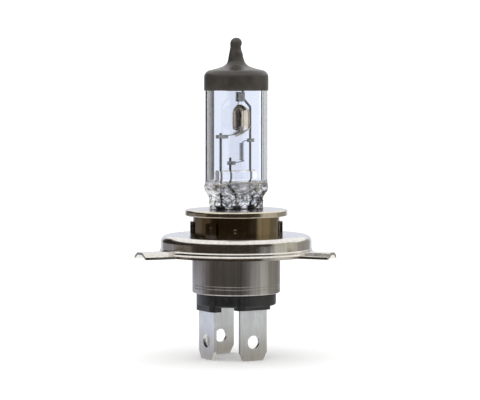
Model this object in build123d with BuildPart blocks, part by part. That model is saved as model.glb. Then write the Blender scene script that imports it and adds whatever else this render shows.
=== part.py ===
from build123d import *

import os
from math import cos, radians, sin

# Twin-filament halogen headlight bulb on a three-lug prefocus base with three blade terminals.
# All sizes are millimetres. The origin is where the bulb's axis crosses the reference plane, which is
# the seating side of the three lugs. +Z runs along the axis to the glass tip, and -X points to the
# wide reference lug. The filament leads and the flat glass seal lie in the XZ plane.

# Glass bulb
glass_radius = 7.95
glass_bore = 6.9
tube_foot_z = 16.4  # the round tube flattens into the seal below this
shoulder_z = 43.2  # top of the straight tube
shoulder_drop = 1.7
glass_tip_z, tip_ball_radius = 53.05, 1.3  # the sealed end of the exhaust tube
seal_width, seal_thickness, seal_corner = 13.8, 5.4, 1.4
seal_top_z, seal_end_z = 12.9, 1.6
seal_pocket_width, seal_pocket_depth, seal_pocket_top_z, seal_pocket_end_z = 5.3, 0.5, 11.8, 3.0
cavity_floor_z, cavity_floor_bend, cavity_top_z, cavity_top_bend = 14.3, 4.0, 44.4, 2.0

# Black anti-glare coating on the tip
coat_skin = 0.2
coat_edge_z = 39.85

# Filament mount
lead_radius = 0.3
low_lead_x, high_lead_x, common_lead_x = -4.45, -1.75, 4.15
low_lead_top_z, high_lead_top_z = 29.2, 23.0
high_seal_x = -0.1  # the middle lead steps to the middle of the seal
high_step_low_z, high_step_high_z = 13.6, 15.6
lead_bend, leg_bend, leg_stub = 0.9, 0.16, 0.5
tail_bend, tail_knee_z, tail_setback = 1.2, -3.8, 2.1  # the setback is from a blade to its weld
low_tail_drop_z, high_tail_drop_z, ground_tail_drop_z = -1.2, 0.0, -0.6
foil_width, foil_skin, foil_low_z, foil_high_z = 2.6, 0.08, 4.6, 10.8
paddle_width, paddle_skin, paddle_length = 0.9, 0.2, 1.8
bridge_width, bridge_depth, bridge_height, bridge_z = 10.8, 2.6, 2.8, 18.4
bridge_round = 1.1
shield_axis_x, shield_radius, shield_top_radius, shield_wall = 1.0, 2.82, 0.5, 0.2
shield_low_z, shield_straight_low_z, shield_straight_high_z, shield_high_z = 27.9, 30.8, 34.8, 36.4
clip_gap, clip_skin, clip_height = 0.62, 0.2, 0.9
low_clip_z, high_clip_z, common_clip_z, shield_clip_z, shield_clip_height = 28.3, 21.6, 27.3, 38.3, 2.4
shield_stem_x, shield_stem_z = 1.9, 41.0  # where the common lead ends, above the shield
stem_step_low_z, stem_step_high_z = 35.7, 38.0
coil_pitch, coil_radius, tungsten_radius = 0.5, 0.5, 0.11
low_coil_x, low_coil_turns, low_coil_z = 0.35, 11, 29.8
high_coil_x, high_coil_turns, high_coil_z = 1.55, 9, 22.2

# Metal base
tin = 0.4  # shell and capsule holder
neck_radius, neck_top_z, neck_foot_z = 10.98, 9.4, -1.75  # the shell inside the ring
shell_radius, shell_shoulder_z, shell_end_z = 11.15, -2.0, -11.2  # its free barrel, a little wider
shell_mouth_radius, shell_foot_bend = 10.15, 0.38
shell_groove_depth = 0.08
shell_groove_places = (-9.0, -9.7)
holder_rim_radius, holder_top_z, holder_hem_z, holder_skirt_z = 13.0, 9.85, 8.3, 4.6
holder_bend, holder_hem_bend, holder_gap = 0.5, 0.3, 0.06
slot_clearance = 0.15
finger_width, finger_end_z, finger_x = 3.2, 4.2, 4.0

# Prefocus ring
sheet = 0.6
drum_radius, drum_top_z, drum_bend = 19.1, 3.4, 1.6
drum_foot_radius, pilot_foot_z, flare_z = 19.32, 0.1, -0.2  # the drum flares below its pilot
ring_hole_radius = 11.02
lip_radius, lip_top_z, lip_bend = 20.1, -1.05, 0.7
lug_root_radius, lug_tip_radius, lug_corner, lug_bend = 18.7, 27.5, 0.8, 0.6
# half widths of a lug: its flat crown, the crown's foot, the root and the tip
wide_lug = (1.3, 2.9, 4.7, 3.4)
narrow_lug = (0.9, 2.1, 3.4, 2.5)
wide_lug_angle, narrow_lug_angles = 180, (60, 300)
tab_width, tab_top_z, tab_skin, tab_corner, tab_weld_z = 3.2, 6.85, 0.65, 0.5, 5.4
tab_angles = (27, 153, 207, 333)
weld_angles = (58.5, 121.5, 238.5, 301.5)
weld_z, weld_radius, weld_depth = 5.0, 1.0, 0.14

# Insulator and blade terminals
insulator_radius, insulator_flange_radius = 10.1, 10.7
insulator_top_z, insulator_end_z, insulator_edge = -7.5, -14.25, 0.4
blade_width, blade_skin, blade_radius = 7.7, 0.8, 8.3
blade_end_z, blade_hole_radius, blade_hole_rise = -27.75, 1.7, 4.65
blade_chamfer_side, blade_chamfer_rise, blade_corner = 1.15, 2.1, 0.3
foot_width, foot_reach = 5.0, 3.2
slot_gap = 0.05
pad_length, pad_depth = 9.4, 2.6
low_beam_angle, high_beam_angle, ground_angle = 180, 270, 90
low_beam_pad_z, side_pad_z = -15.05, -14.5  # undersides of the insulator's pads

cut = 12  # longer than any cut needs
insulator_seat_z = shell_end_z + tin
foot_base_z = insulator_top_z + slot_gap
foot_top_z = foot_base_z + blade_skin
os.makedirs("parts", exist_ok=True)


def polar(radius, angle, z=0.0):
    """The point at a radius and an angle round the bulb's axis."""
    return Vector(radius * cos(radians(angle)), radius * sin(radians(angle)), z)


def outward(angle, radius=0.0, z=0.0):
    """A plane facing outward at an angle round the axis: its X runs round the axis and its Y is up."""
    facing = polar(1, angle)
    return Plane(origin=polar(radius, angle, z), x_dir=(-facing.Y, facing.X, 0), z_dir=facing)


def rod(points, radius, bend):
    """A round wire through the points, with its corners rounded."""
    with BuildPart() as wire:
        with BuildLine() as path:
            if len(points) == 2:
                Line(*points)
            else:
                FilletPolyline(*points, radius=bend)
        with BuildSketch(Plane(origin=path.line @ 0, z_dir=path.line % 0)):
            Circle(radius)
        sweep()
    return wire.part


# --- Leads, foils and the bridge, which the glass is sealed round ---

def lead(points, bend, paddle_side):
    """A lead with a flattened paddle at its first point, above it (1) or below it (-1)."""
    start = points[0]
    with BuildPart() as made:
        add(rod(points, lead_radius, bend))
        with Locations((start[0], 0, start[2] + paddle_side * paddle_length / 2)):
            Box(paddle_width, paddle_skin, paddle_length)
    return made.part


def sealing_foil(x):
    with BuildPart() as foil:
        with Locations((x, (paddle_skin + foil_skin) / 2, (foil_low_z + foil_high_z) / 2)):
            Box(foil_width, foil_skin, foil_high_z - foil_low_z)
    return foil.part


low_beam_lead = lead([(low_lead_x, 0, foil_high_z), (low_lead_x, 0, low_lead_top_z)], 0, -1)
high_beam_lead = lead(
    [
        (high_seal_x, 0, foil_high_z),
        (high_seal_x, 0, high_step_low_z),
        (high_lead_x, 0, high_step_high_z),
        (high_lead_x, 0, high_lead_top_z),
    ],
    lead_bend,
    -1,
)
common_lead = lead(
    [
        (common_lead_x, 0, foil_high_z),
        (common_lead_x, 0, stem_step_low_z),
        (shield_stem_x, 0, stem_step_high_z),
        (shield_stem_x, 0, shield_stem_z),
    ],
    lead_bend,
    -1,
)

low_beam_foil = sealing_foil(low_lead_x)
high_beam_foil = sealing_foil(high_seal_x)
common_foil = sealing_foil(common_lead_x)


def tail(start_x, drop_z, angle):
    """An outer lead from its foil to the foot of the terminal at an angle."""
    foot = polar(blade_radius - tail_setback, angle, foot_top_z)
    knee = polar(blade_radius - tail_setback, angle, tail_knee_z)
    points = [(start_x, 0, foil_low_z), (start_x, 0, drop_z), tuple(knee), tuple(foot)]
    return lead(points, tail_bend, 1)


low_beam_tail = tail(low_lead_x, low_tail_drop_z, low_beam_angle)
high_beam_tail = tail(high_seal_x, high_tail_drop_z, high_beam_angle)
ground_tail = tail(common_lead_x, ground_tail_drop_z, ground_angle)

with BuildPart() as quartz_bridge:
    with Locations((0, 0, bridge_z)):
        Box(bridge_width, bridge_depth, bridge_height)
    fillet(quartz_bridge.edges().filter_by(Axis.X), bridge_round)
    with Locations(Plane.XY.offset(bridge_z)):
        with Locations((low_lead_x, 0), (high_lead_x, 0), (common_lead_x, 0)):
            Cylinder(lead_radius, bridge_height * 2, mode=Mode.SUBTRACT)

# --- Glass ---

def draw_outline(skin, start_z):
    """Half the outline of the tube, shoulder and exhaust tip, grown by a skin, from start_z up."""
    side = (glass_radius + skin, shoulder_z)
    shoulder = (glass_radius - shoulder_drop, shoulder_z + shoulder_drop + skin)
    ball = (tip_ball_radius + skin, glass_tip_z - tip_ball_radius)
    top = (0, glass_tip_z + skin)
    Polyline((0, start_z), (glass_radius + skin, start_z), side)
    TangentArc(side, shoulder, tangent=(0, 1))
    Spline(
        shoulder,
        (3.3, shoulder_z + 2.6 + skin),
        (1.95 + skin, 47.25),
        (1.5 + skin, 49.2),
        (1.22 + skin, 50.6),
        ball,
        tangents=[(-1, 0.1), (0, 1)],
    )
    TangentArc(ball, top, tangent=(0, 1))
    Line(top, (0, start_z))


with BuildPart() as gas_space:
    with BuildSketch(Plane.XZ) as half_section:
        Polygon(
            (0, cavity_floor_z),
            (glass_bore, cavity_floor_z),
            (glass_bore, cavity_top_z),
            (0, cavity_top_z),
            align=None,
        )
        fillet(half_section.vertices().group_by(Axis.Y)[0].sort_by(Axis.X)[-1], cavity_floor_bend)
        fillet(half_section.vertices().group_by(Axis.Y)[-1].sort_by(Axis.X)[-1], cavity_top_bend)
    revolve(axis=Axis.Z)

with BuildPart() as glass_bulb:
    with BuildSketch(Plane.XZ):
        with BuildLine():
            draw_outline(0, tube_foot_z)
        make_face()
    revolve(axis=Axis.Z)
    # the round tube flattens into the seal
    with BuildSketch(Plane.XY.offset(tube_foot_z)):
        Circle(glass_radius)
    with BuildSketch(Plane.XY.offset(seal_top_z)):
        RectangleRounded(seal_width, seal_thickness, seal_corner)
    loft()
    with BuildSketch(Plane.XY.offset(seal_top_z)):
        RectangleRounded(seal_width, seal_thickness, seal_corner)
    extrude(amount=seal_end_z - seal_top_z)
    add(gas_space.part, mode=Mode.SUBTRACT)
    for metal in (low_beam_lead, high_beam_lead, common_lead):
        add(metal, mode=Mode.SUBTRACT)
    for metal in (low_beam_foil, high_beam_foil, common_foil, low_beam_tail, high_beam_tail, ground_tail):
        add(metal, mode=Mode.SUBTRACT)
    # the press jaws leave a shallow pocket in each broad face
    for side in (-1, 1):
        with Locations((0, side * seal_thickness / 2, (seal_pocket_top_z + seal_pocket_end_z) / 2)):
            Box(
                seal_pocket_width,
                seal_pocket_depth * 2,
                seal_pocket_top_z - seal_pocket_end_z,
                mode=Mode.SUBTRACT,
            )

with BuildPart() as anti_glare_cap:
    with BuildSketch(Plane.XZ):
        with BuildLine():
            draw_outline(coat_skin, coat_edge_z)
        make_face()
    revolve(axis=Axis.Z)
    with BuildSketch(Plane.XZ):
        with BuildLine():
            draw_outline(0, coat_edge_z - 1)
        make_face()
    revolve(axis=Axis.Z, mode=Mode.SUBTRACT)

# --- Shield, clips and filaments ---

with BuildPart() as dipped_beam_shield:
    with BuildSketch(Plane(origin=(shield_axis_x, 0, 0), x_dir=(1, 0, 0), z_dir=(0, -1, 0))):
        with BuildLine():
            Polyline(
                (0, shield_low_z),
                (shield_radius, shield_straight_low_z),
                (shield_radius, shield_straight_high_z),
                (shield_top_radius, shield_high_z),
                (0, shield_high_z),
                (0, shield_high_z - shield_wall),
                (shield_top_radius - shield_wall / 2, shield_high_z - shield_wall),
                (shield_radius - shield_wall, shield_straight_high_z - shield_wall / 2),
                (shield_radius - shield_wall, shield_straight_low_z + shield_wall / 2),
                (0, shield_low_z + 1.4 * shield_wall),
                close=True,
            )
        make_face()
    revolve(axis=Axis((shield_axis_x, 0, 0), (0, 0, 1)))
    split(bisect_by=Plane.YZ.offset(shield_axis_x), keep=Keep.TOP)


def folded_clip(wire_x, low_x, high_x, z, height=clip_height):
    """A strip folded round a lead: two leaves, closed at low_x, that also pinch a filament leg."""
    width = clip_gap + 2 * clip_skin
    length = high_x - low_x
    with BuildPart() as clip:
        with BuildSketch(Plane((wire_x, 0, z - height / 2))):
            with Locations(((low_x + high_x) / 2, 0)):
                SlotOverall(length + width, width)
                SlotOverall(length + width - 2 * clip_skin, clip_gap, mode=Mode.SUBTRACT)
            with Locations((high_x + width, 0)):
                Rectangle(2 * width, 2 * width, mode=Mode.SUBTRACT)
        extrude(amount=height)
    return clip.part


low_beam_clip = folded_clip(low_lead_x, -0.75, 1.9, low_clip_z)
high_beam_clip = folded_clip(high_lead_x, -0.3, 1.3, high_clip_z)
common_clip = folded_clip(common_lead_x, -0.4, 0.95, common_clip_z)
shield_clip = folded_clip(shield_stem_x, -1.5, 0.35, shield_clip_z, shield_clip_height)


def filament(x, turns, low_z, low_leg, high_leg):
    """A tungsten coil with its axis along Z, and the two straight legs that carry it."""
    with BuildPart() as coil:
        with BuildLine(Plane((x, 0, low_z))) as turn_line:
            Helix(coil_pitch, coil_pitch * turns, coil_radius)
        with BuildSketch(Plane(origin=turn_line.line @ 0, z_dir=turn_line.line % 0)):
            Circle(tungsten_radius)
        sweep(is_frenet=True)
        start, end = turn_line.line @ 0, turn_line.line @ 1
        back, ahead = turn_line.line % 0, turn_line.line % 1
        add(rod([start, start - back * leg_stub, *low_leg], tungsten_radius, leg_bend))
        add(rod([end, end + ahead * leg_stub, *high_leg], tungsten_radius, leg_bend))
    return coil.part


low_beam_filament = filament(
    low_coil_x,
    low_coil_turns,
    low_coil_z,
    low_leg=[(-0.9, -0.5, 28.8), (low_lead_x + 0.5, 0, low_clip_z + 0.1)],
    high_leg=[(0.85, 0.9, 35.6), (0.75, 0, 37.6)],
)
high_beam_filament = filament(
    high_coil_x,
    high_coil_turns,
    high_coil_z,
    low_leg=[(0.2, -0.5, 21.8), (high_lead_x + 0.45, 0, high_clip_z)],
    high_leg=[(2.6, 0.5, 27.1), (common_lead_x - 0.42, 0, common_clip_z + 0.05)],
)

# --- Metal base ---

with BuildPart() as capsule_holder:
    skirt_radius = neck_radius - tin - 0.02
    with BuildSketch(Plane.XZ):
        with BuildLine():
            Polyline(
                (0, holder_top_z),
                (holder_rim_radius, holder_top_z),
                (holder_rim_radius, holder_hem_z),
                (neck_radius + holder_gap, holder_hem_z),
                (neck_radius + holder_gap, holder_top_z - tin),
                (skirt_radius, holder_top_z - tin),
                (skirt_radius, holder_skirt_z),
                (skirt_radius - tin, holder_skirt_z),
                (skirt_radius - tin, holder_top_z - tin),
                (0, holder_top_z - tin),
                close=True,
            )
        make_face()
    revolve(axis=Axis.Z)
    rim_edges = capsule_holder.edges().filter_by(GeomType.CIRCLE).sort_by(SortBy.RADIUS)[-2:]
    fillet(rim_edges.sort_by(Axis.Z)[-1], holder_bend)
    hem_edges = capsule_holder.edges().filter_by(lambda edge: abs(edge.center().Z - holder_hem_z) < 0.01)
    fillet(hem_edges.sort_by(SortBy.RADIUS)[-1], holder_hem_bend)
    with BuildSketch(Plane.XY.offset(holder_top_z - 2 * tin)):
        RectangleRounded(
            seal_width + 2 * slot_clearance, seal_thickness + 2 * slot_clearance, seal_corner + slot_clearance
        )
    extrude(amount=cut, mode=Mode.SUBTRACT)
    # four spring fingers grip the broad faces of the seal
    finger_y = seal_thickness / 2 + slot_clearance + tin / 2
    finger_height = holder_top_z - finger_end_z
    for side in (-1, 1):
        with Locations(
            (-finger_x, side * finger_y, finger_end_z + finger_height / 2),
            (finger_x, side * finger_y, finger_end_z + finger_height / 2),
        ):
            Box(finger_width, tin, finger_height)

with BuildPart() as base_shell:
    with BuildSketch(Plane.XZ):
        with BuildLine():
            Polyline(
                (neck_radius, neck_top_z),
                (neck_radius, neck_foot_z),
                (shell_radius, shell_shoulder_z),
                (shell_radius, shell_end_z),
                (shell_mouth_radius, shell_end_z),
                (shell_mouth_radius, insulator_seat_z),
                (shell_radius - tin, insulator_seat_z),
                (shell_radius - tin, shell_shoulder_z),
                (neck_radius - tin, neck_foot_z),
                (neck_radius - tin, neck_top_z),
                close=True,
            )
        make_face()
    revolve(axis=Axis.Z)
    foot_edges = base_shell.edges().filter_by(GeomType.CIRCLE).group_by(Axis.Z)[0]
    fillet(foot_edges.sort_by(SortBy.RADIUS)[-1], shell_foot_bend)
    for angle in weld_angles:
        with Locations(polar(neck_radius + weld_radius - weld_depth, angle, weld_z)):
            Sphere(weld_radius, mode=Mode.SUBTRACT)
    for groove_z in shell_groove_places:
        with Locations((0, 0, groove_z)):
            Torus(shell_radius + shell_groove_depth, 2 * shell_groove_depth, mode=Mode.SUBTRACT)


def lug(half_widths, angle):
    """A lug with a raised flat crown along its middle, tapering from root to tip."""
    crown, foot, root, tip = half_widths
    middle_z = lip_top_z - sheet / 2
    with BuildPart() as made:
        with BuildSketch(outward(angle, lug_root_radius)):
            with BuildLine():
                FilletPolyline(
                    (-root - 1, middle_z),
                    (-foot, middle_z),
                    (-crown, -sheet / 2),
                    (crown, -sheet / 2),
                    (foot, middle_z),
                    (root + 1, middle_z),
                    radius=lug_bend,
                )
            trace(line_width=sheet)
        extrude(amount=lug_tip_radius - lug_root_radius)
        with BuildSketch(Plane(origin=(0, 0, -cut / 2), x_dir=polar(1, angle), z_dir=(0, 0, 1))) as plan:
            Polygon(
                (lug_root_radius, -root),
                (lug_tip_radius, -tip),
                (lug_tip_radius, tip),
                (lug_root_radius, root),
                align=None,
            )
            fillet(plan.vertices().sort_by(Axis.X)[-2:], lug_corner)
        extrude(amount=cut, mode=Mode.INTERSECT)
    return made.part


lugs = [lug(wide_lug, wide_lug_angle)]
for narrow_angle in narrow_lug_angles:
    lugs.append(lug(narrow_lug, narrow_angle))

with BuildPart() as prefocus_ring:
    with BuildSketch(Plane.XZ):
        with BuildLine():
            Polyline(
                (ring_hole_radius, drum_top_z),
                (drum_radius, drum_top_z),
                (drum_radius, pilot_foot_z),
                (drum_foot_radius, flare_z),
                (drum_foot_radius, lip_top_z),
                (lip_radius, lip_top_z),
                (lip_radius, lip_top_z - sheet),
                (drum_radius - sheet, lip_top_z - sheet),
                (drum_radius - sheet, drum_top_z - sheet),
                (ring_hole_radius, drum_top_z - sheet),
                close=True,
            )
        make_face()
    revolve(axis=Axis.Z)
    drum_edges = prefocus_ring.edges().filter_by(GeomType.CIRCLE)
    fillet(drum_edges.group_by(Axis.Z)[-1].sort_by(SortBy.RADIUS)[-1], drum_bend)
    inner_edges = prefocus_ring.edges().filter_by(GeomType.CIRCLE)
    inner_bend = inner_edges.filter_by(lambda edge: abs(edge.center().Z - (drum_top_z - sheet)) < 0.01)
    fillet(inner_bend.sort_by(SortBy.RADIUS)[-1], drum_bend - sheet)
    lip_edges = prefocus_ring.edges().filter_by(lambda edge: abs(edge.center().Z - lip_top_z) < 0.01)
    fillet(lip_edges.sort_by(SortBy.RADIUS)[0], lip_bend)
    for made_lug in lugs:
        add(made_lug)
    for angle in tab_angles:
        with BuildSketch(outward(angle, ring_hole_radius, drum_top_z - sheet)):
            with Locations((0, (tab_top_z - drum_top_z + sheet) / 2)):
                RectangleRounded(tab_width, tab_top_z - drum_top_z + sheet, tab_corner)
        extrude(amount=tab_skin)
        with Locations(polar(ring_hole_radius + tab_skin + weld_radius - weld_depth, angle, tab_weld_z)):
            Sphere(weld_radius, mode=Mode.SUBTRACT)
    with BuildSketch():
        Circle(ring_hole_radius)
    extrude(amount=cut, mode=Mode.SUBTRACT)

# --- Insulator and blade terminals ---

def blade(angle):
    """A blade terminal: a foot inside the shell and a chamfered blade with a detent hole."""
    half = blade_width / 2
    with BuildPart() as made:
        with BuildSketch(outward(angle, blade_radius - blade_skin / 2)) as face:
            Polygon(
                (-half, foot_top_z),
                (half, foot_top_z),
                (half, blade_end_z + blade_chamfer_rise),
                (half - blade_chamfer_side, blade_end_z),
                (-half + blade_chamfer_side, blade_end_z),
                (-half, blade_end_z + blade_chamfer_rise),
                align=None,
            )
            fillet(face.vertices().sort_by(Axis.Y)[:4], blade_corner)
            with Locations((0, blade_end_z + blade_hole_rise)):
                Circle(blade_hole_radius, mode=Mode.SUBTRACT)
        extrude(amount=blade_skin)
        with BuildSketch(outward(angle, blade_radius - blade_skin / 2)):
            with Locations((0, foot_base_z + blade_skin / 2)):
                Rectangle(foot_width, blade_skin)
        extrude(amount=-foot_reach)
    return made.part


with BuildPart() as insulator:
    with BuildSketch(Plane.XZ):
        with BuildLine():
            Polyline(
                (0, insulator_top_z),
                (insulator_flange_radius, insulator_top_z),
                (insulator_flange_radius, insulator_seat_z),
                (insulator_radius, insulator_seat_z),
                (insulator_radius, insulator_end_z),
                (0, insulator_end_z),
                close=True,
            )
        make_face()
    revolve(axis=Axis.Z)
    lower_edges = insulator.edges().filter_by(GeomType.CIRCLE).group_by(Axis.Z)[0]
    fillet(lower_edges, insulator_edge)
    for angle, pad_z in (
        (low_beam_angle, low_beam_pad_z),
        (high_beam_angle, side_pad_z),
        (ground_angle, side_pad_z),
    ):
        with BuildSketch(outward(angle, blade_radius - pad_depth / 2)):
            with Locations((0, (insulator_end_z + pad_z) / 2)):
                Rectangle(pad_length, 1 + insulator_end_z - pad_z)
        extrude(amount=pad_depth)
    with BuildSketch(Plane.XY.offset(insulator_seat_z)):
        Circle(insulator_radius + cut)
        Circle(insulator_radius, mode=Mode.SUBTRACT)
    extrude(amount=-cut, mode=Mode.SUBTRACT)
    for angle in (low_beam_angle, high_beam_angle, ground_angle):
        with BuildSketch(outward(angle, blade_radius - blade_skin / 2 - slot_gap)):
            with Locations((0, insulator_end_z)):
                Rectangle(blade_width + 2 * slot_gap, 2 * cut)
        extrude(amount=blade_skin + 2 * slot_gap, mode=Mode.SUBTRACT)

# --- The finished pieces ---

pieces = {
    "glass_bulb": glass_bulb.part,
    "anti_glare_cap": anti_glare_cap.part,
    "dipped_beam_shield": dipped_beam_shield.part,
    "quartz_bridge": quartz_bridge.part,
    "low_beam_lead": low_beam_lead,
    "high_beam_lead": high_beam_lead,
    "common_lead": common_lead,
    "low_beam_foil": low_beam_foil,
    "high_beam_foil": high_beam_foil,
    "common_foil": common_foil,
    "low_beam_tail": low_beam_tail,
    "high_beam_tail": high_beam_tail,
    "ground_tail": ground_tail,
    "low_beam_clip": low_beam_clip,
    "high_beam_clip": high_beam_clip,
    "common_clip": common_clip,
    "shield_clip": shield_clip,
    "low_beam_filament": low_beam_filament,
    "high_beam_filament": high_beam_filament,
    "capsule_holder": capsule_holder.part,
    "base_shell": base_shell.part,
    "prefocus_ring": prefocus_ring.part,
    "insulator": insulator.part,
    "low_beam_blade": blade(low_beam_angle),
    "high_beam_blade": blade(high_beam_angle),
    "ground_blade": blade(ground_angle),
}
for name, piece in pieces.items():
    piece.label = name
    export_step(piece, f"parts/{name}.step")
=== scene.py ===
import math

import bmesh
import bpy
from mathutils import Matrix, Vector, noise


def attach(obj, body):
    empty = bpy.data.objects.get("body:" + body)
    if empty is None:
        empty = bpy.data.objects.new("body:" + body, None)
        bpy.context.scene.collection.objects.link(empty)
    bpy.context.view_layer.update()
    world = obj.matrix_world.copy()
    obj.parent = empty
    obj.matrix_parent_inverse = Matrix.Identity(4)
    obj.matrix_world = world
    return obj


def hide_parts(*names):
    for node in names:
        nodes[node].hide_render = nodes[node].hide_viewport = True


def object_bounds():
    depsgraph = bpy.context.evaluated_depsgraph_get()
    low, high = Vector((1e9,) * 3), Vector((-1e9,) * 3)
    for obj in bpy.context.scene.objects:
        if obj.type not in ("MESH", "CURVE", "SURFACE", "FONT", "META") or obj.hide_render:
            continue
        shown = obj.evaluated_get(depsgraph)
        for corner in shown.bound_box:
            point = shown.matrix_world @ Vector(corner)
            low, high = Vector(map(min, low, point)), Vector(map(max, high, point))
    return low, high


# A twin-filament headlight bulb. Lengths are in millimetres in this script and become metres where a
# mesh is made. The frame is the model's own: +Z to the glass tip, -X to the wide lug, and z = 0 on the
# seating side of the lugs.

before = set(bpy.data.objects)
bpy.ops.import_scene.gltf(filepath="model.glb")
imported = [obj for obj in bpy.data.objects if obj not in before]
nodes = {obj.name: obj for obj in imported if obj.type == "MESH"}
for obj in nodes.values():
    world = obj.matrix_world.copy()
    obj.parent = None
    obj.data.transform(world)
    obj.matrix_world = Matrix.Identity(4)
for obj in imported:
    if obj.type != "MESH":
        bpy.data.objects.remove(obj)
cad_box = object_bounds()
MM = 0.001


# --- Materials ---

white = (1.0, 1.0, 1.0)


class Shader:
    """A material and short calls that add nodes to it. Coordinates are in millimetres."""

    def __init__(self, name):
        self.material = bpy.data.materials.new(name)
        self.material.use_nodes = True
        self.tree = self.material.node_tree
        self.surface = self.tree.nodes["Principled BSDF"]

    def add(self, kind, **settings):
        node = self.tree.nodes.new(kind)
        for key, value in settings.items():
            setattr(node, key, value)
        return node

    def join(self, source, target):
        self.tree.links.new(source, target)

    def set(self, **sockets):
        """Sets the shader's own sockets, named with underscores for spaces."""
        for key, value in sockets.items():
            self.surface.inputs[key.replace("_", " ")].default_value = value

    def place(self, stretch=(1, 1, 1)):
        """The object's coordinates in millimetres, each axis multiplied by its stretch."""
        mapping = self.add("ShaderNodeMapping")
        mapping.inputs["Scale"].default_value = [s / MM for s in stretch]
        self.join(self.add("ShaderNodeTexCoord").outputs["Object"], mapping.inputs["Vector"])
        return mapping.outputs["Vector"]

    def noise(self, stretch, detail=4.0, roughness=0.55, distortion=0.0):
        texture = self.add("ShaderNodeTexNoise")
        texture.inputs["Scale"].default_value = 1.0
        texture.inputs["Detail"].default_value = detail
        texture.inputs["Roughness"].default_value = roughness
        texture.inputs["Distortion"].default_value = distortion
        self.join(self.place(stretch), texture.inputs["Vector"])
        return texture.outputs["Fac"]

    def height(self):
        """The height on the object, in millimetres."""
        split = self.add("ShaderNodeSeparateXYZ")
        self.join(self.place(), split.inputs["Vector"])
        return split.outputs["Z"]

    def spread(self, value, low, high, out_low=0.0, out_high=1.0):
        scale = self.add("ShaderNodeMapRange")
        scale.inputs["From Min"].default_value = low
        scale.inputs["From Max"].default_value = high
        scale.inputs["To Min"].default_value = out_low
        scale.inputs["To Max"].default_value = out_high
        self.join(value, scale.inputs["Value"])
        return scale.outputs["Result"]

    def ramp(self, value, *stops):
        """Colours along a value: each stop is (position, (r, g, b))."""
        node = self.add("ShaderNodeValToRGB")
        elements = node.color_ramp.elements
        while len(elements) < len(stops):
            elements.new(0.5)
        for element, (position, colour) in zip(elements, stops):
            element.position = position
            element.color = (*colour, 1)
        self.join(value, node.inputs["Fac"])
        return node.outputs["Color"]

    def tones(self, value, pair, margin=0.3):
        """A blend between two colours, which holds each of them over a margin at its own end."""
        dark, light = pair
        return self.ramp(value, (margin, dark), (1 - margin, light))

    def mix(self, factor, first, second):
        node = self.add("ShaderNodeMix", data_type="RGBA")
        self.join(factor, node.inputs["Factor"])
        self.join(first, node.inputs["A"])
        self.join(second, node.inputs["B"])
        return node.outputs["Result"]

    def multiply(self, first, second):
        node = self.add("ShaderNodeMix", data_type="RGBA", blend_type="MULTIPLY")
        node.inputs["Factor"].default_value = 1.0
        self.join(first, node.inputs["A"])
        self.join(second, node.inputs["B"])
        return node.outputs["Result"]

    def colour(self, value):
        self.join(value, self.surface.inputs["Base Color"])

    def roughness(self, value):
        self.join(value, self.surface.inputs["Roughness"])

    def clear_below(self, top, fade, share, fold_shade_colour):
        """Lets a share of the light straight through below a height, darkened along thin lines of painted
        shade.

        The share grows from none at the top to the whole of it a fade lower, in millimetres."""
        clear = self.add("ShaderNodeBsdfTransparent")
        folds = self.noise((0.2, 0.2, 0.3), detail=1.0, distortion=1.2)
        # painted shade: thin dark lines in the light let straight through
        stops = ((0.45, white), (0.49, fold_shade_colour), (0.52, fold_shade_colour), (0.56, white))
        self.join(self.ramp(folds, *stops), clear.inputs["Color"])
        blend = self.add("ShaderNodeMixShader")
        self.join(self.spread(self.height(), top, top - fade, 0, share), blend.inputs["Fac"])
        self.join(self.surface.outputs["BSDF"], blend.inputs[1])
        self.join(clear.outputs["BSDF"], blend.inputs[2])
        self.join(blend.outputs["Shader"], self.tree.nodes["Material Output"].inputs["Surface"])

    def bump(self, height, depth, under=None):
        """Adds relief of a depth in millimetres, over the relief under it, and returns its normal."""
        node = self.add("ShaderNodeBump")
        node.inputs["Distance"].default_value = depth * MM
        self.join(height, node.inputs["Height"])
        if under:
            self.join(under, node.inputs["Normal"])
        self.join(node.outputs["Normal"], self.surface.inputs["Normal"])
        return node.outputs["Normal"]


# the colours of each finish, dark and light, between which its grain varies
quartz_tints = ((0.955, 0.965, 1.0), (0.98, 0.985, 1.0))
# painted shade: the colour of thin dark lines in the light let straight through the seal, standing in for
# the dark lines its folds show
painted_fold_shade = (0.03, 0.035, 0.04)
paint_tones = ((0.03, 0.026, 0.022), (0.05, 0.043, 0.036))
insulator_tones = ((0.008, 0.008, 0.009), (0.02, 0.019, 0.02))
blade_root_tones = ((0.62, 0.63, 0.64), (0.74, 0.75, 0.76))
blade_tip_tones = ((0.34, 0.31, 0.27), (0.46, 0.43, 0.39))
barrel_tones = ((0.4, 0.375, 0.36), (0.62, 0.59, 0.57))
barrel_band_tones = ((0.7, 0.69, 0.68), white)
# painted reflection: the dark brown of the shell's neck, for the dark front it reflects
neck_painted_reflection_tones = ((0.2, 0.15, 0.09), (0.32, 0.25, 0.15))
ring_tones = ((0.6, 0.57, 0.53), (0.74, 0.71, 0.67))
# painted shade: the dark brown of the ring's upright tabs, for the shadow they stand in
tab_painted_shade_tones = ((0.16, 0.12, 0.075), (0.28, 0.22, 0.14))
holder_tones = ((0.56, 0.5, 0.41), (0.7, 0.64, 0.54))
cup_tones = ((0.5, 0.44, 0.36), (0.66, 0.6, 0.5))
# painted highlight: the near white of the shield's tongue, for the sky it reflects
tongue_highlight_tones = ((0.9, 0.9, 0.9), (0.97, 0.97, 0.97))
# painted reflection: the leads' near-black colour stands in for the dark front they reflect
lead_dark_reflection_tones = ((0.05, 0.047, 0.047), (0.12, 0.115, 0.115))
strip_tones = ((0.1, 0.1, 0.1), (0.3, 0.3, 0.31))
tungsten_tones = ((0.1, 0.1, 0.11), (0.24, 0.24, 0.26))

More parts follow.
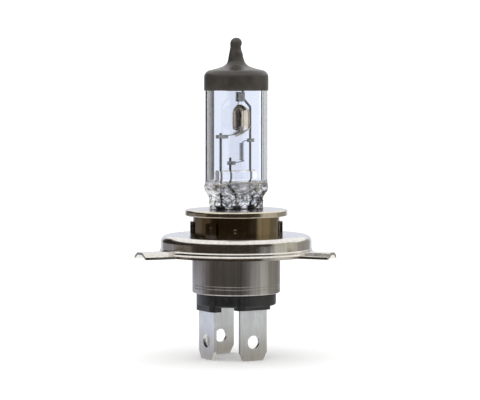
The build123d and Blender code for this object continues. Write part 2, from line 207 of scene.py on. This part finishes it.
# heights where a finish changes, as (start, end) in millimetres
seal_clear_top, seal_clear_fade, seal_clear_share = 17.2, 1.5, 0.55
blade_tip_heights = (-26.5, -18.0)
# painted reflection: the heights over which the shell's neck turns dark brown
neck_painted_reflection_heights = (1.5, 2.5)
# painted shade: the heights over which the ring's upright tabs turn dark
tab_painted_shade_heights = (3.6, 4.4)
# painted highlight: the heights below which the shield's tongue turns near white
tongue_highlight_heights = (31.0, 30.2)


def make_metal(name, tones, rough, grain, dents=0.03):
    """Metal with a fine grain: stretched noise drives colour, roughness and relief.

    grain is the noise's frequency along x, y and z, per millimetre, and dents is the depth of the slow
    waves that stamping leaves in the sheet, in millimetres."""
    shader = Shader(name)
    shader.set(Metallic=1.0)
    lines = shader.noise(grain, detail=5.0, roughness=0.6)
    shader.colour(shader.tones(lines, tones, 0.32))
    wear = shader.noise((0.9, 0.9, 0.9), detail=5.0)
    shader.roughness(shader.spread(wear, 0.3, 0.7, *rough))
    waves = shader.bump(shader.noise((0.16, 0.16, 0.22), detail=1.0), dents)
    shader.bump(lines, depth=0.0006, under=waves)
    return shader.material


def make_glass():
    """Clear quartz, whose pressed seal is lightened by a share of light let straight through, with thin
    lines of painted shade in it for the dark lines of its folds.
    """
    shader = Shader("clear_quartz")
    shader.set(Transmission_Weight=1.0, IOR=1.46)
    shader.colour(shader.tones(shader.noise((0.15, 0.15, 0.08), detail=2.0), quartz_tints))
    shader.roughness(shader.spread(shader.noise((0.8, 0.8, 0.3)), 0.4, 0.8, 0.0, 0.02))
    shader.clear_below(seal_clear_top, seal_clear_fade, seal_clear_share, painted_fold_shade)
    return shader.material


def make_cloudy(name, tones, stretch, rough, grit, grit_depth):
    """A dull black finish: a soft cloud drives colour and roughness, over a fine grit."""
    shader = Shader(name)
    cloud = shader.noise(stretch, detail=5.0)
    shader.colour(shader.tones(cloud, tones))
    shader.roughness(shader.spread(cloud, 0.3, 0.7, *rough))
    shader.bump(shader.noise((grit, grit, grit), detail=3.0), grit_depth)
    return shader.material


def make_blade_metal():
    """Plated sheet with fine lengthwise rolling lines, warmer and darker towards the tip."""
    shader = Shader("plated_blade")
    shader.set(Metallic=1.0)
    lines = shader.noise((5, 5, 0.35), detail=6.0)
    rootward = shader.tones(lines, blade_root_tones)
    tipward = shader.tones(lines, blade_tip_tones)
    cloud = shader.noise((0.35, 0.35, 0.35), detail=4.0)
    # the edge between the two wanders, as the cloud lifts and lowers it
    wander = 0.35
    edge = shader.add("ShaderNodeMath", operation="MULTIPLY_ADD")
    edge.inputs[1].default_value = wander
    shader.join(cloud, edge.inputs[0])
    shader.join(shader.spread(shader.height(), *blade_tip_heights), edge.inputs[2])
    shader.colour(shader.mix(shader.spread(edge.outputs["Value"], 0.1, 1.1), tipward, rootward))
    shader.roughness(shader.spread(cloud, 0.3, 0.7, 0.24, 0.38))
    shader.bump(lines, depth=0.0008)
    return shader.material


def make_shell_steel():
    """Drawn steel: satin with upright die lines on the barrel, and glossier on the neck, whose dark brown
    colour is a painted reflection of the dark front.
    """
    shader = Shader("drawn_shell_steel")
    shader.set(Metallic=1.0)
    lines = shader.noise((1.6, 1.6, 0.03), detail=5.0, roughness=0.6)
    bands = shader.noise((0.35, 0.35, 0.01), detail=2.0)
    barrel = shader.multiply(shader.tones(lines, barrel_tones), shader.tones(bands, barrel_band_tones, 0.35))
    # painted reflection: the neck is coloured dark brown for the dark front it reflects
    neck = shader.tones(lines, neck_painted_reflection_tones)
    upper = shader.spread(shader.height(), *neck_painted_reflection_heights)
    shader.colour(shader.mix(upper, barrel, neck))
    shader.roughness(shader.spread(upper, 0, 1, 0.36, 0.17))
    waves = shader.bump(shader.noise((0.16, 0.16, 0.1), detail=1.0), 0.03)
    shader.bump(lines, depth=0.0015, under=waves)
    return shader.material


def make_shield_metal():
    """Drawn shield metal: a bronzed cup, with a rougher tongue below it that is coloured near white, a
    painted highlight for the sky it reflects.
    """
    shader = Shader("drawn_shield_metal")
    shader.set(Metallic=1.0)
    lines = shader.noise((2, 2, 0.3), detail=5.0, roughness=0.6)
    cup = shader.tones(lines, cup_tones, 0.32)
    # painted highlight: the tongue's near white stands in for the sky it reflects
    tongue = shader.tones(lines, tongue_highlight_tones, 0.32)
    lower = shader.spread(shader.height(), *tongue_highlight_heights)
    shader.colour(shader.mix(lower, cup, tongue))
    shader.roughness(shader.spread(lower, 0, 1, 0.16, 0.6))
    shader.bump(lines, depth=0.0006)
    return shader.material


def make_ring_steel():
    """Bright stamped steel, with painted shade on the upright tabs, which are coloured dark brown for the
    shadow they stand in.
    """
    shader = Shader("bright_ring_steel")
    shader.set(Metallic=1.0)
    lines = shader.noise((1.2, 1.2, 0.05), detail=5.0, roughness=0.6)
    plate = shader.tones(lines, ring_tones, 0.32)
    # painted shade: the upright tabs are coloured dark brown for the shadow they stand in
    painted_tab_shade = shader.tones(lines, tab_painted_shade_tones)
    shader.colour(shader.mix(shader.spread(shader.height(), *tab_painted_shade_heights), plate, painted_tab_shade))
    wear = shader.noise((0.9, 0.9, 0.9), detail=5.0)
    shader.roughness(shader.spread(wear, 0.3, 0.7, 0.15, 0.24))
    waves = shader.bump(shader.noise((0.16, 0.16, 0.22), detail=1.0), 0.03)
    shader.bump(lines, depth=0.0012, under=waves)
    return shader.material


glass = make_glass()
coating = make_cloudy("anti_glare_paint", paint_tones, (0.5, 0.5, 0.3), (0.3, 0.42), 5, 0.012)
shield_metal = make_shield_metal()
# painted reflection: the leads are coloured near black for the dark front they reflect
lead_metal = make_metal("drawn_lead_wire", lead_dark_reflection_tones, (0.3, 0.45), (6, 6, 0.6))

finishes = {
    "glass_bulb": glass,
    "quartz_bridge": glass,
    "anti_glare_cap": coating,
    "dipped_beam_shield": shield_metal,
    "capsule_holder": make_metal("holder_steel", holder_tones, (0.13, 0.22), (1.2, 1.2, 0.1), dents=0.12),
    "base_shell": make_shell_steel(),
    "prefocus_ring": make_ring_steel(),
    "insulator": make_cloudy("black_insulator", insulator_tones, (1.2, 1.2, 0.5), (0.3, 0.5), 9, 0.01),
}
# pieces of one family share a finish, by the last word of their names, and all the others are leads
families = {
    "blade": make_blade_metal(),
    "clip": make_metal("rolled_clip_strip", strip_tones, (0.25, 0.4), (5, 5, 2)),
    "filament": make_metal("tungsten_coil", tungsten_tones, (0.3, 0.45), (8, 8, 8)),
}
for name, node in nodes.items():
    family = name.rsplit("_", 1)[-1]
    node.data.materials.clear()
    node.data.materials.append(finishes.get(name) or families.get(family, lead_metal))


# --- Pieces that replace plain CAD solids ---

def smooth_step(low, high, value):
    t = min(max((value - low) / (high - low), 0.0), 1.0)
    return t * t * (3 - 2 * t)


def blend_number(first, second, share):
    return first + (second - first) * share


def oval_radius(angle, half_x, half_y, squareness):
    """The radius of a superellipse at an angle: 2 is an ellipse, and more is squarer."""
    x = abs(math.cos(angle)) / half_x
    y = abs(math.sin(angle)) / half_y
    return (x ** squareness + y ** squareness) ** (-1 / squareness)


def rounded_path(points, steps=8):
    """Points along a Catmull-Rom curve through an outline of (radius, height) points."""
    path = []
    last = len(points) - 1
    for i in range(last):
        corners = [Vector(points[min(max(i + k, 0), last)]) for k in (-1, 0, 1, 2)]
        for step in range(steps):
            t = step / steps
            weights = (
                -t + 2 * t * t - t ** 3,
                2 - 5 * t * t + 3 * t ** 3,
                t + 4 * t * t - 3 * t ** 3,
                -t * t + t ** 3,
            )
            path.append(sum((c * w / 2 for c, w in zip(corners, weights)), Vector((0, 0))))
    path.append(Vector(points[last]))
    return path


skin_columns = 144


def add_skin(mesh, levels, place, inward=False, close_start=True):
    """Adds a tube to a bmesh: one ring of points for each level, joined by quads and closed by fans.

    place(level, angle) gives a point in millimetres. inward turns its faces to look at the axis, and
    close_start says whether the first ring is closed, as the last one always is."""
    angles = [2 * math.pi * k / skin_columns for k in range(skin_columns)]
    rings = [[mesh.verts.new(place(level, angle) * MM) for angle in angles] for level in levels]
    faces = []
    for lower, upper in zip(rings, rings[1:]):
        for k in range(skin_columns):
            after = (k + 1) % skin_columns
            faces.append(mesh.faces.new((lower[k], lower[after], upper[after], upper[k])))
    ends = [(rings[0], True), (rings[-1], False)] if close_start else [(rings[-1], False)]
    for ring, flip in ends:
        middle = mesh.verts.new(sum((v.co for v in ring), Vector()) / skin_columns)
        for k in range(skin_columns):
            corner = (ring[k], ring[(k + 1) % skin_columns], middle)
            faces.append(mesh.faces.new(corner[::-1] if flip else corner))
    if inward:
        bmesh.ops.reverse_faces(mesh, faces=faces)
    return rings


def finish_piece(name, mesh, material, node):
    """Makes an object of a bmesh that stands for a CAD node."""
    data = bpy.data.meshes.new(name)
    mesh.to_mesh(data)
    mesh.free()
    data.materials.append(material)
    for polygon in data.polygons:
        polygon.use_smooth = True
    piece = bpy.data.objects.new(name, data)
    bpy.context.collection.objects.link(piece)
    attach(piece, "root")
    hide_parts(node)


tube_radius, tube_bore = 7.93, 6.9
tube_foot, seal_shoulder, seal_foot = 16.9, 12.3, 1.65
seal_half_width, seal_half_thickness = 6.9, 2.7
cavity_foot, cavity_floor = 17.4, 13.7
lead_places = (-4.45, -0.9, 4.15)
round_section, square_section, cavity_section = 2, 6, 3  # superellipse powers
# cavity_closed keeps the middle of the cavity's floor from closing to a point
cavity_half_width, cavity_half_thickness, cavity_closed = 5.2, 2.0, 0.0004
# the heights where the press's creases begin and are full, going down, how far above the foot they
# begin to fade again, and their depth as a share of the radius
crease_heights, crease_foot_height, crease_depth = (16.2, 13.4), 2.0, 0.05
# the pocket in each broad face: where its sides, its top and its foot begin and where they are full
pocket_depth, pocket_sides, pocket_top, pocket_foot = 0.5, (2.9, 2.3), (12.2, 11.5), (2.6, 3.2)
ripple_height, ripple_depth, dimple_reach, dimple_depth = 15.6, 0.3, (1.3, 0.2), 0.5
wall_heights, bore_heights = (17.6, 20, 30, 40, 42.6), (18, 20, 30, 40, 42.2)
# the tube's shoulder and its exhaust tip, as (radius, height)
shoulder_height, shoulder_bend = 43.2, 1.68
shoulder_middle = (6.25, shoulder_height)
dome = [
    (6.93, 44.75),
    (5.2, 45.25),
    (3.3, 45.65),
    (2.2, 46.75),
    (1.75, 48.2),
    (1.42, 49.6),
    (1.2, 50.8),
    (1.24, 51.7),
    (1.0, 52.6),
    (0.4, 52.95),
]
bore_top_middle, bore_top_bend, bore_apex = (4.9, 42.3), 2.0, (2.4, 44.33)


def bend(middle, radius, angles):
    """Points round a bend in an outline, as (radius, height), at angles in radians from level."""
    return [(middle[0] + radius * math.cos(a), middle[1] + radius * math.sin(a)) for a in angles]


def around_axis(radius, angle, z):
    return Vector((radius * math.cos(angle), radius * math.sin(angle), z))


def glass_outside(level, angle):
    radius, z = level
    if z < tube_foot:
        pressed = smooth_step(tube_foot, seal_shoulder, z)
        half_x = blend_number(tube_radius, seal_half_width, pressed)
        half_y = blend_number(tube_radius, seal_half_thickness, pressed)
        radius = oval_radius(angle, half_x, half_y, blend_number(round_section, square_section, pressed))
    point = around_axis(radius, angle, z)
    # hot glass keeps the creases of the press jaws, and a pocket is pressed into each broad face
    crease = smooth_step(*crease_heights, z) * smooth_step(seal_foot, seal_foot + crease_foot_height, z)
    if crease:
        broad_folds = noise.noise(point * 0.42) * 0.6
        fine_folds = noise.noise(point * 0.9 + Vector((7, 3, 1))) * 0.2
        point *= 1 + (broad_folds + fine_folds) * crease * crease_depth
        point.z = z
        sides = smooth_step(*pocket_sides, abs(point.x))
        pocket = sides * smooth_step(*pocket_top, z) * smooth_step(*pocket_foot, z)
        point.y -= math.copysign(pocket_depth * pocket, point.y)
    return point


def glass_inside(level, angle):
    radius, z = level
    if z < cavity_foot:
        share = smooth_step(cavity_foot, cavity_floor, z)
        sink = (cavity_foot - z) / (cavity_foot - cavity_floor)
        closing = math.sqrt(max(1 - sink ** 4, cavity_closed))
        half_x = blend_number(tube_bore, cavity_half_width, share) * closing
        half_y = blend_number(tube_bore, cavity_half_thickness, share) * closing
        radius = oval_radius(angle, half_x, half_y, blend_number(round_section, cavity_section, share))
    point = around_axis(radius, angle, z)
    # the floor ripples, and it sinks a little round each lead
    ripple = smooth_step(cavity_foot, ripple_height, z)
    if ripple:
        point.z += noise.noise(point * 0.45 + Vector((2, 9, 4))) * ripple_depth * ripple
        for x in lead_places:
            apart = math.hypot(point.x - x, point.y)
            point.z -= dimple_depth * ripple * smooth_step(*dimple_reach, apart)
    return point


def make_bulb():
    """The quartz tube with its pressed seal: an outer skin and the wall of the gas space."""
    mesh = bmesh.new()
    seal_rings, floor_rings = 60, 24
    # the seal's and the floor's radii come from their height alone
    seal = [(0, blend_number(seal_foot, tube_foot, k / seal_rings)) for k in range(seal_rings)]
    wall = [(tube_radius, z) for z in (tube_foot, *wall_heights, shoulder_height)]
    shoulder = bend(shoulder_middle, shoulder_bend, (0.25, 0.5, 0.75, 1.0))
    add_skin(mesh, seal + wall + shoulder + rounded_path(dome), glass_outside)
    floor = [(0, blend_number(cavity_floor, cavity_foot, k / floor_rings)) for k in range(floor_rings)]
    bore = [(tube_bore, z) for z in (cavity_foot, *bore_heights)]
    top = bend(bore_top_middle, bore_top_bend, (0.15, 0.4, 0.7, 1.0, 1.3, 1.55))
    add_skin(mesh, floor + bore + top + [bore_apex], glass_inside, inward=True)
    finish_piece("pressed_glass_bulb", mesh, glass, "glass_bulb")


cap_radius, cap_lining, cap_bend, lining_bend = 8.14, 7.96, 1.89, 1.71
# the hem, how far it wavers, and the height that the waver stays below
cap_hem, hem_waver, hem_waver_top = 39.87, 0.09, 40.4
# the lean of the tip, which grows over lean_from's heights and fades over lean_to's
tip_lean, lean_angle, lean_from, lean_to = 0.1, math.radians(150), (46.6, 48.5), (52.9, 50.5)
notch_depth, notch_angle, notch_height, notch_reach = 0.22, math.radians(330), 50.5, 0.7
# the coating over the exhaust tip, as (radius, height)
cap_tip = [
    (6.5, 45.07),
    (4.6, 45.55),
    (3.1, 46.15),
    (2.3, 46.95),
    (1.93, 48.1),
    (1.72, 49.2),
    (1.5, 50.3),
    (1.42, 51.0),
    (1.48, 51.75),
    (1.3, 52.5),
    (0.75, 53.05),
    (0.2, 53.2),
]


def cap_outside(level, angle):
    """The coating's skin: its hem wavers, and the drip of quartz at its tip leans and has a notch."""
    radius, z = level
    point = around_axis(radius, angle, z)
    if z < hem_waver_top:
        point.z += hem_waver * noise.noise(Vector((3 * math.cos(angle), 3 * math.sin(angle), 5)))
    lean = tip_lean * smooth_step(*lean_from, z) * smooth_step(*lean_to, z)
    notch = math.exp(-((z - notch_height) / notch_reach) ** 2) * max(math.cos(angle - notch_angle), 0)
    return point + around_axis(lean, lean_angle, 0) - around_axis(notch_depth * notch, angle, 0)


def make_cap():
    """The baked black coating, a thin shell over the top of the tube."""
    mesh = bmesh.new()
    wall = [(8.05, cap_hem), (cap_radius, 39.98), (cap_radius, 41.5), (cap_radius, shoulder_height)]
    shoulder = bend(shoulder_middle, cap_bend, (0.2, 0.4, 0.6, 0.8, 1.0, 1.2))
    rings = add_skin(mesh, wall + shoulder + rounded_path(cap_tip), cap_outside, close_start=False)
    lining = [(cap_lining, cap_hem), (cap_lining, shoulder_height)]
    lining += bend(shoulder_middle, lining_bend, (0.3, 0.6, 0.9))
    lining += [(6.0, 45.1), (3.0, 45.95)]
    inner_rings = add_skin(mesh, lining, cap_outside, inward=True, close_start=False)
    # the hem's edge, between the outer face and the lining
    hem, inner_hem = rings[0], inner_rings[0]
    for k in range(skin_columns):
        after = (k + 1) % skin_columns
        mesh.faces.new((inner_hem[k], inner_hem[after], hem[after], hem[k]))
    finish_piece("black_coating", mesh, coating, "anti_glare_cap")


shield_axis, shield_skin, shield_half_angle = 0.8, 0.14, math.radians(97)
shield_columns, shield_steps, smallest_reach = 40, 4, 0.1
# the cup's outline, as (radius, height)
shield_rows = [
    (0.55, 36.35),
    (0.95, 36.2),
    (1.75, 35.7),
    (2.4, 35.1),
    (2.7, 34.5),
    (2.75, 33.6),
    (2.75, 32.0),
    (2.72, 30.6),
    (2.6, 29.9),
]
# the tongue's middle line, the way it faces, and its half width in the middle and at the very ends
tongue_high, tongue_low = Vector((3.5, 0, 30.9)), Vector((-0.2, 0, 28.2))
tongue_normal = Vector((-0.6, 0, 0.8))
tongue_rows, tongue_columns = 12, 16
tongue_half_width, tongue_end = 2.5, 0.15
tongue_sag, tongue_lift = 0.2, 0.45


def cup_sheet(mesh, skin):
    """The points of one face of the cup, a skin's thickness inside its outline."""
    rows = []
    for radius, z in rounded_path(shield_rows, shield_steps):
        reach = max(radius - skin, smallest_reach)
        angles = [shield_half_angle * (2 * k / shield_columns - 1) for k in range(shield_columns + 1)]
        places = [Vector((shield_axis + reach * math.cos(a), reach * math.sin(a), z)) for a in angles]
        rows.append([mesh.verts.new(place * MM) for place in places])
    return rows


def tongue_sheet(mesh, skin):
    """The points of one face of the tongue, which is rounded, sagging and curled up at its sides."""
    rows = []
    for i in range(tongue_rows + 1):
        share = i / tongue_rows
        half = tongue_half_width * math.sqrt(max(1 - (2 * share - 1) ** 4, 0)) + tongue_end
        rise = skin - tongue_sag * math.sin(math.pi * share)
        middle = tongue_high.lerp(tongue_low, share) + tongue_normal * rise
        across = [2 * k / tongue_columns - 1 for k in range(tongue_columns + 1)]
        places = [middle + Vector((0, half * a, tongue_lift * a * a)) for a in across]
        rows.append([mesh.verts.new(place * MM) for place in places])
    return rows


def sheet_edge(rows):
    """The points round the edge of a sheet, in order."""
    down = [row[-1] for row in rows[1:]]
    up = [row[0] for row in rows[-2:0:-1]]
    return rows[0] + down + rows[-1][-2::-1] + up


def join_sheets(mesh, outer, inner):
    """Gives two sheets of points their faces, and closes the edge between them."""
    for rows in (outer, inner):
        for upper, lower in zip(rows, rows[1:]):
            for k in range(len(upper) - 1):
                mesh.faces.new((upper[k], lower[k], lower[k + 1], upper[k + 1]))
    edge_out, edge_in = sheet_edge(outer), sheet_edge(inner)
    for k in range(len(edge_out)):
        after = (k + 1) % len(edge_out)
        mesh.faces.new((edge_out[k], edge_out[after], edge_in[after], edge_in[k]))


def make_shield():
    """A deep cup round the dipped-beam filament, open towards the wide lug, with a slanted tongue below."""
    mesh = bmesh.new()
    for sheet in (cup_sheet, tongue_sheet):
        join_sheets(mesh, sheet(mesh, 0.0), sheet(mesh, shield_skin))
    bmesh.ops.recalc_face_normals(mesh, faces=mesh.faces)
    finish_piece("shield_cup", mesh, shield_metal, "dipped_beam_shield")


make_bulb()
make_cap()
make_shield()

# --- Studio: it turns with the camera, as it does when an object turns on a turntable ---

camera_azimuth = math.radians(240)
camera_distance, camera_height = 550.0, 45.0
target_height, target_aside = 12.2, 0.95
view_width = 121.519  # what the camera sees from side to side, at the target
aside = Vector((-math.sin(camera_azimuth), math.cos(camera_azimuth), 0))
target = Vector((0, 0, target_height)) + aside * target_aside
eye = around_axis(camera_distance, camera_azimuth, camera_height)

camera_data = bpy.data.cameras.new("camera")
camera = bpy.data.objects.new("camera", camera_data)
bpy.context.collection.objects.link(camera)
camera.location = eye * MM
camera.rotation_mode = "QUATERNION"
camera.rotation_quaternion = (target - eye).to_track_quat("-Z", "Y")
camera_data.sensor_width = 36.0
camera_data.lens = camera_data.sensor_width / view_width * (target - eye).length
camera_data.clip_start = 0.01
bpy.context.scene.camera = camera


def stage_mesh(name, verts, faces, mat):
    mesh = bpy.data.meshes.new(name)
    mesh.from_pydata([Vector(v) * MM for v in verts], [], faces)
    mesh.materials.append(mat)
    made = bpy.data.objects.new(name, mesh)
    bpy.context.collection.objects.link(made)
    return made


def glow(name, colour):
    """A material that shows one even colour and lights nothing by itself."""
    mat = bpy.data.materials.new(name)
    mat.use_nodes = True
    tree = mat.node_tree
    tree.nodes.remove(tree.nodes["Principled BSDF"])
    emit = tree.nodes.new("ShaderNodeEmission")
    emit.inputs["Color"].default_value = (*colour, 1)
    tree.links.new(emit.outputs["Emission"], tree.nodes["Material Output"].inputs["Surface"])
    mat.cycles.emission_sampling = "NONE"
    return mat


def card(name, from_angle, to_angle, radius, low, high, colour, seen_in):
    """A curved card round the object, carried by the camera and seen in no other way than seen_in says.

    "glossy" is in reflections, and "glass" is through the glass. Angles are degrees from the camera, and
    low and high are heights from its line of sight."""
    verts, faces = [], []
    steps = 12
    for i in range(steps + 1):
        a = math.radians(from_angle + (to_angle - from_angle) * i / steps)
        x, z = radius * math.sin(a), radius * math.cos(a) - camera_distance
        verts += [(x, low, z), (x, high, z)]
    for i in range(steps):
        faces.append((2 * i, 2 * i + 2, 2 * i + 3, 2 * i + 1))
    made = stage_mesh(name, verts, faces, glow(name, colour))
    made.parent = camera
    made.visible_camera = False
    made.visible_diffuse = False
    made.visible_shadow = False
    made.visible_glossy = seen_in == "glossy"
    made.visible_transmission = seen_in == "glass"


near, far, split = 430, 900, -12  # the cards' distances, and the height where the left ones divide
# seen in reflections: a dark flag in front, paler cards beside and behind, and a dark flag high on the
# left, which keeps the left side of the glass dark above the base
card("front_flag", -70, 57, near, -300, 260, (0.045, 0.036, 0.028), "glossy")
card("right_card", 57, 104, near, -300, 260, (0.6, 0.58, 0.5), "glossy")
card("right_back_card", 104, 150, near, -300, 150, (0.36, 0.35, 0.33), "glossy")
card("left_card", -104, -70, near, -300, split, (0.2, 0.17, 0.15), "glossy")
card("left_back_card", -150, -104, near, -300, split, (0.32, 0.31, 0.33), "glossy")
card("left_flag", -150, -70, near, split, 260, (0.03, 0.025, 0.02), "glossy")
card("back_card", 150, 210, near, -300, 150, (0.82, 0.86, 0.97), "glossy")
# two small cards low down light the blades without reaching the ring
card("left_blade_card", -150, -90, 90, -60, -24, (0.86, 0.89, 1.0), "glossy")
card("right_blade_card", 35, 85, 120, -75, -29, (0.8, 0.82, 0.82), "glossy")
# seen through the glass: a dark flag in front, the pale backing straight behind, and strips that
# outline its walls
card("front_glass_flag", -26, 26, near, -300, 260, (0.05, 0.045, 0.04), "glass")
card("backing", 168, 190, far, -500, 500, (0.8, 0.855, 0.97), "glass")
card("left_edge_flag", -170, -148, far, -500, 500, (0.0, 0.0, 0.0), "glass")
card("left_far_card", -145, -125, far, -500, 500, (0.5, 0.5, 0.5), "glass")
card("right_line_flag", 159, 165, far, -500, 500, (0.02, 0.02, 0.02), "glass")
card("right_far_card", 135, 157, far, -500, 500, (0.62, 0.64, 0.62), "glass")
card("right_edge_card", 115, 135, far, -500, 500, (0.3, 0.3, 0.29), "glass")

floor_shader = Shader("floor_paper")
floor_tones = ((0.95, 0.95, 0.95), (0.97, 0.97, 0.97))
floor_shader.colour(floor_shader.tones(floor_shader.noise((0.05, 0.05, 0.05), detail=3.0), floor_tones))
floor_shader.set(Roughness=0.9, Specular_IOR_Level=0.0)
floor_reach, floor_gap = 6000, 0.02
floor_z = cad_box[0].z / MM - floor_gap
corners = [(x * floor_reach, y * floor_reach, floor_z) for x, y in ((-1, -1), (1, -1), (1, 1), (-1, 1))]
floor = stage_mesh("floor", corners, [(0, 1, 2, 3)], floor_shader.material)
# reflections show the dark flag in front instead of the paper, and the glass shows the cards behind
floor.visible_glossy = False
floor.visible_transmission = False

world_brightness = 1.25
world = bpy.data.worlds.new("studio")
world.use_nodes = True
background = world.node_tree.nodes["Background"]
background.inputs["Color"].default_value = (*white, 1)
background.inputs["Strength"].default_value = world_brightness
world.cycles.sampling_method = "NONE"
bpy.context.scene.world = world
bpy.context.scene.view_settings.view_transform = "Standard"
